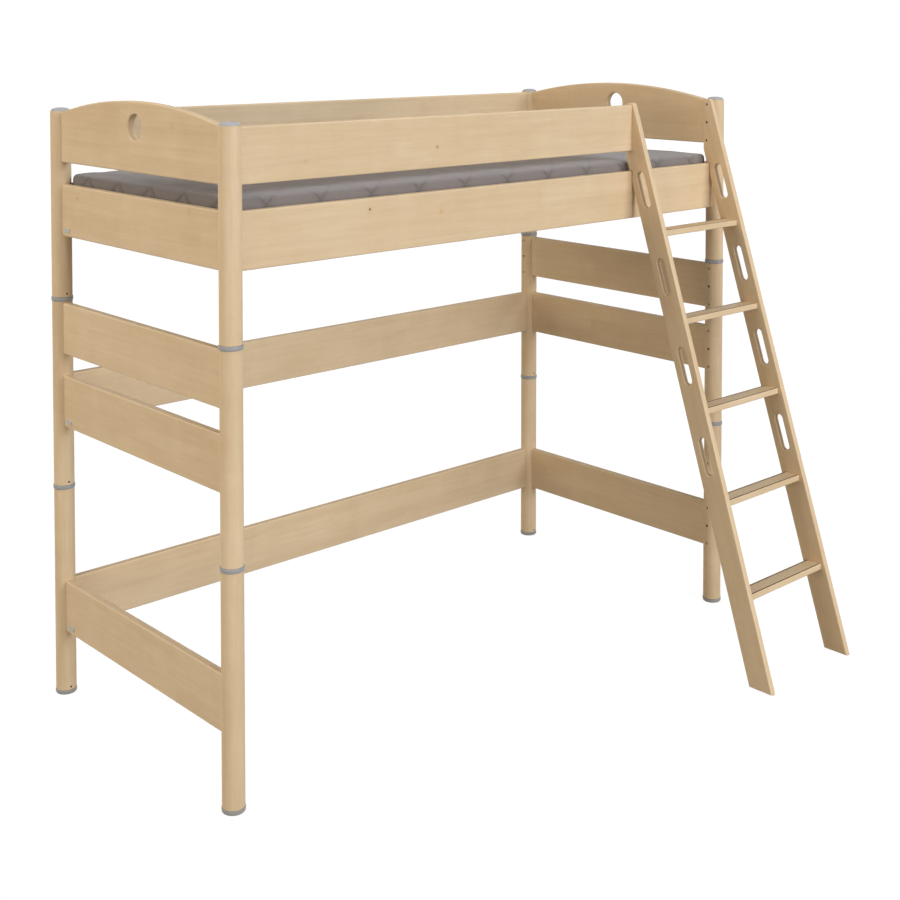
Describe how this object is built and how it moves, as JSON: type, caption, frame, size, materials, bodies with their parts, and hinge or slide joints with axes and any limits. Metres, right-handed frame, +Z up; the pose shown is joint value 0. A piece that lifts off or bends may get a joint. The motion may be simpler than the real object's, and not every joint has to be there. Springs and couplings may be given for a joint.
{
  "type": "loft bed",
  "caption": "Child's loft bed with round posts in jointed lengths, board sides, a guard, a slatted base with a quilted mattress and a slanting ladder with hand slots.",
  "frame": {"origin": "on the floor, at the middle of the box that the bed and its ladder fill", "axes": "+X along the bed, to the ladder's end; +Y from the ladder to the back; +Z up"},
  "size_m": [2.124, 1.541, 1.8559],
  "materials": {
    "post_wood": "clear satin lacquer on pale beech or birch, grain upright",
    "end_board_wood": "clear satin lacquer, grain along the board",
    "long_board_wood": "clear satin lacquer, grain along the board",
    "stile_wood": "clear satin lacquer, grain along the stile",
    "tread_wood": "clear satin lacquer, grain along the tread",
    "base_wood": "plain planed softwood",
    "ring_plastic": "fine satin grey plastic",
    "cap_plastic": "fine satin grey plastic",
    "foot_plastic": "fine satin grey plastic",
    "badge_plastic": "satin grey plastic, blank",
    "mattress_cover": "quilted grey brown cover",
    "bolt_steel": "dark zinc plate"
  },
  "bodies": {
    "root": {"post_front_left_lower": "post_wood", "post_front_left_middle": "post_wood", "post_front_left_upper": "post_wood", "post_ring_front_left_lower": "ring_plastic", "post_ring_front_left_middle": "ring_plastic", "post_cap_front_left": "cap_plastic", "post_foot_front_left": "foot_plastic", "post_front_right_lower": "post_wood", "post_front_right_middle": "post_wood", "post_front_right_upper": "post_wood", "post_ring_front_right_lower": "ring_plastic", "post_ring_front_right_middle": "ring_plastic", "post_cap_front_right": "cap_plastic", "post_foot_front_right": "foot_plastic", "post_back_left_lower": "post_wood", "post_back_left_middle": "post_wood", "post_back_left_upper": "post_wood", "post_ring_back_left_lower": "ring_plastic", "post_ring_back_left_middle": "ring_plastic", "post_cap_back_left": "cap_plastic", "post_foot_back_left": "foot_plastic", "post_back_right_lower": "post_wood", "post_back_right_middle": "post_wood", "post_back_right_upper": "post_wood", "post_ring_back_right_lower": "ring_plastic", "post_ring_back_right_middle": "ring_plastic", "post_cap_back_right": "cap_plastic", "post_foot_back_right": "foot_plastic", "headboard_left": "end_board_wood", "bed_rail_left": "end_board_wood", "end_board_left_upper": "end_board_wood", "end_board_left_middle": "end_board_wood", "end_board_left_lower": "end_board_wood", "headboard_right": "end_board_wood", "bed_rail_right": "end_board_wood", "end_board_right_upper": "end_board_wood", "end_board_right_middle": "end_board_wood", "end_board_right_lower": "end_board_wood", "guard_back": "long_board_wood", "bed_rail_back": "long_board_wood", "back_board_middle": "long_board_wood", "back_board_lower": "long_board_wood", "bed_rail_front": "long_board_wood", "guard_front": "long_board_wood", "ladder_stile_left": "stile_wood", "ladder_bolt_left": "bolt_steel", "ladder_stile_right": "stile_wood", "ladder_bolt_right": "bolt_steel", "ladder_tread_1": "tread_wood", "ladder_tread_2": "tread_wood", "ladder_tread_3": "tread_wood", "ladder_tread_4": "tread_wood", "ladder_tread_5": "tread_wood", "slat_ledge_front": "base_wood", "slat_ledge_back": "base_wood", "slatted_base": "base_wood", "mattress": "mattress_cover", "board_badge_upper": "badge_plastic", "board_badge_middle": "badge_plastic", "board_badge_lower": "badge_plastic"}
  },
  "joints": []
}
